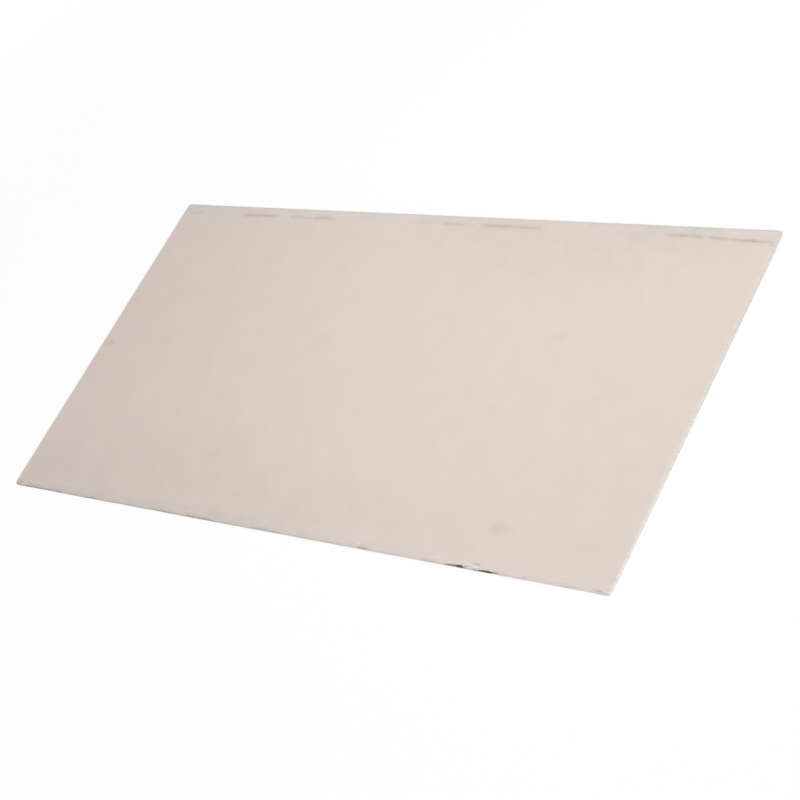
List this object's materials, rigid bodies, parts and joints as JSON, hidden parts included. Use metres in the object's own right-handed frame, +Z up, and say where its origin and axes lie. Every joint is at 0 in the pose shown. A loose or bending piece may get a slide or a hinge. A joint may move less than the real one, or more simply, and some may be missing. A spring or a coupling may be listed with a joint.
{
  "type": "drywall sheet",
  "caption": "Full flat sheet of paper-faced gypsum board with tapered, paper-bound long edges, for lining walls and ceilings; lies face down.",
  "frame": {"origin": "middle of the flat face that the sheet lies on", "axes": "+X along the sheet's length, +Y across its width, +Z up from the face to the back"},
  "size_m": [2.4384, 1.2192, 0.0127],
  "materials": {
    "drywall_paper": "matt recycled board paper, pale warm grey, over a white gypsum core that shows at the cut ends"
  },
  "bodies": {
    "root": {"drywall_sheet": "drywall_paper"}
  },
  "joints": []
}
